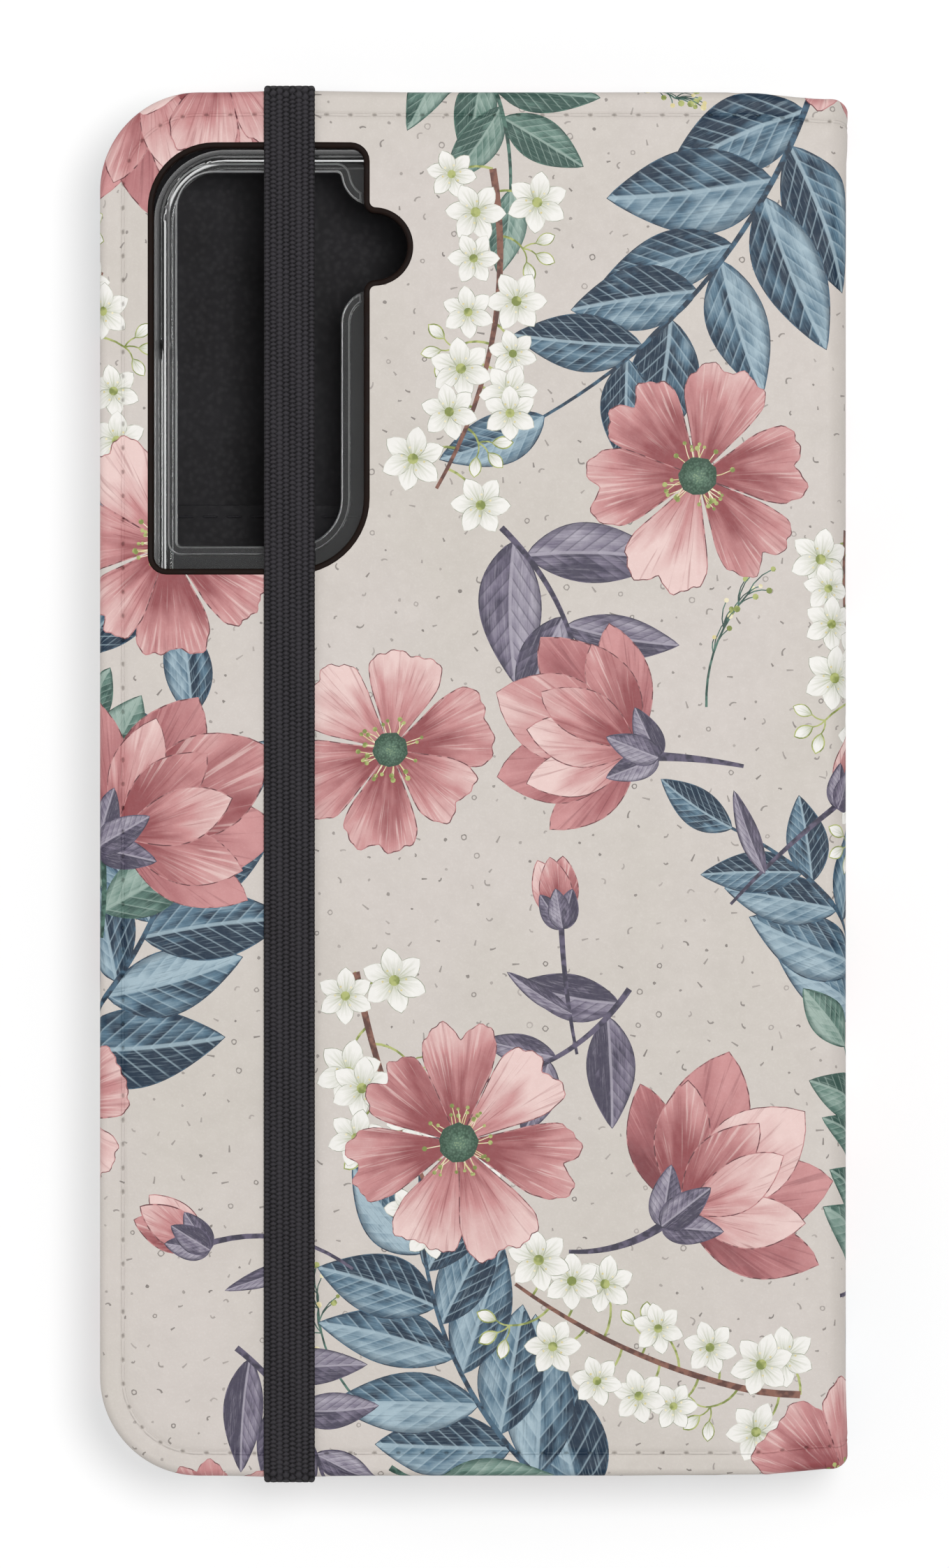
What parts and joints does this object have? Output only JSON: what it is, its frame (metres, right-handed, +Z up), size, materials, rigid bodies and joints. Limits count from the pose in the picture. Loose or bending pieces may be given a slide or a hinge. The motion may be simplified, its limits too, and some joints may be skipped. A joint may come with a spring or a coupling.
{
  "type": "phone case",
  "caption": "Folio case with a clear moulded phone shell, a camera window in its back cover, card slots in its front cover and an elastic strap.",
  "frame": {"origin": "centre of the closed case's footprint, on the surface that the front cover lies on", "axes": "+Z up from the front cover to the back cover with the camera window, +Y towards the top end of the phone, +X towards the spine"},
  "size_m": [0.0874, 0.1636, 0.0188],
  "materials": {
    "printed_leather": "satin",
    "board": "matte",
    "suede_lining": "matte",
    "pocket_leather": "satin",
    "edge_paint": "satin",
    "adhesive_foam": "matte",
    "clear_polycarbonate": "gloss",
    "elastic": "matte"
  },
  "bodies": {
    "front_cover": {"front_skin": "printed_leather", "front_board": "board", "front_lining": "suede_lining", "slip_pocket": "pocket_leather", "card_pocket_1": "pocket_leather", "card_pocket_2": "pocket_leather", "card_pocket_3": "pocket_leather"},
    "spine": {"fold_front": "printed_leather", "spine_skin": "printed_leather", "spine_board": "board", "spine_lining": "suede_lining", "fold_back": "printed_leather"},
    "back_cover": {"back_skin": "printed_leather", "back_board": "board", "back_lining": "suede_lining", "window_trim": "edge_paint", "shell_pad": "adhesive_foam", "phone_shell": "clear_polycarbonate", "strap_turn_top": "elastic", "strap_turn_bottom": "elastic", "strap_anchor_top": "elastic", "strap_anchor_bottom": "elastic"},
    "strap": {"strap_span": "elastic"}
  },
  "joints": [
    {"name": "front_fold", "type": "hinge", "parent": "front_cover", "child": "spine", "pos_m": [0.04295, 0, 0.00075], "axis": [0, 1, 0], "range_deg": [0, 179], "deforming": ["fold_front"]},
    {"name": "back_fold", "type": "hinge", "parent": "spine", "child": "back_cover", "pos_m": [0.04295, 0, 0.0172], "axis": [0, 1, 0], "range_deg": [0, 179], "deforming": ["fold_back"]},
    {"name": "strap_stretch", "type": "slide", "parent": "back_cover", "child": "strap", "axis": [0, 0, 1], "range_m": [0, 0.01], "stiffness_N_per_m": 60, "deforming": ["strap_turn_top", "strap_turn_bottom"]}
  ]
}
